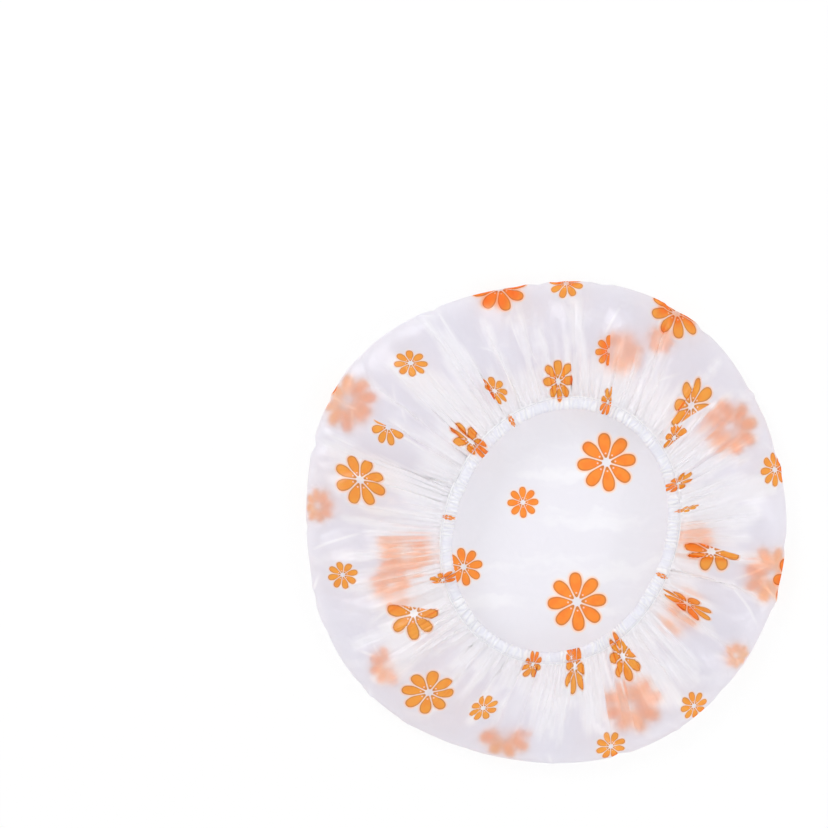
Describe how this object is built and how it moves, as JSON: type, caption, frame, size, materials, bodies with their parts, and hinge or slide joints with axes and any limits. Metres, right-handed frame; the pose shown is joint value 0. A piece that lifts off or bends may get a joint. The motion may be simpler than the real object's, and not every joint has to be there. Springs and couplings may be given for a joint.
{
  "type": "shower cap",
  "caption": "Reusable shower cap of printed translucent film with a flat crown, a gathered wall and an elastic hem round the head opening, lying crown down.",
  "frame": {"origin": "on the table under the middle of the rim's box, with the crown lying on the table", "axes": "+Z up out of the head opening, +X to the right and +Y up in the picture's view from above"},
  "size_m": [0.2764, 0.2768, 0.0282],
  "materials": {
    "film": "soft frosted translucent film printed with scattered orange daisies",
    "elastic": "white knitted flat elastic",
    "thread": "white spun sewing thread"
  },
  "bodies": {
    "crown": {"cap_film": "film"},
    "hem": {"elastic_band": "elastic", "needle_thread": "thread", "bobbin_thread": "thread", "splice_tack": "thread"}
  },
  "joints": [
    {"name": "opening_lift", "type": "slide", "parent": "crown", "child": "hem", "axis": [0, 0, 1], "range_m": [-0.016, 0.02], "stiffness_N_per_m": 40, "springref_m": 0.0003, "deforming": ["cap_film"]}
  ]
}
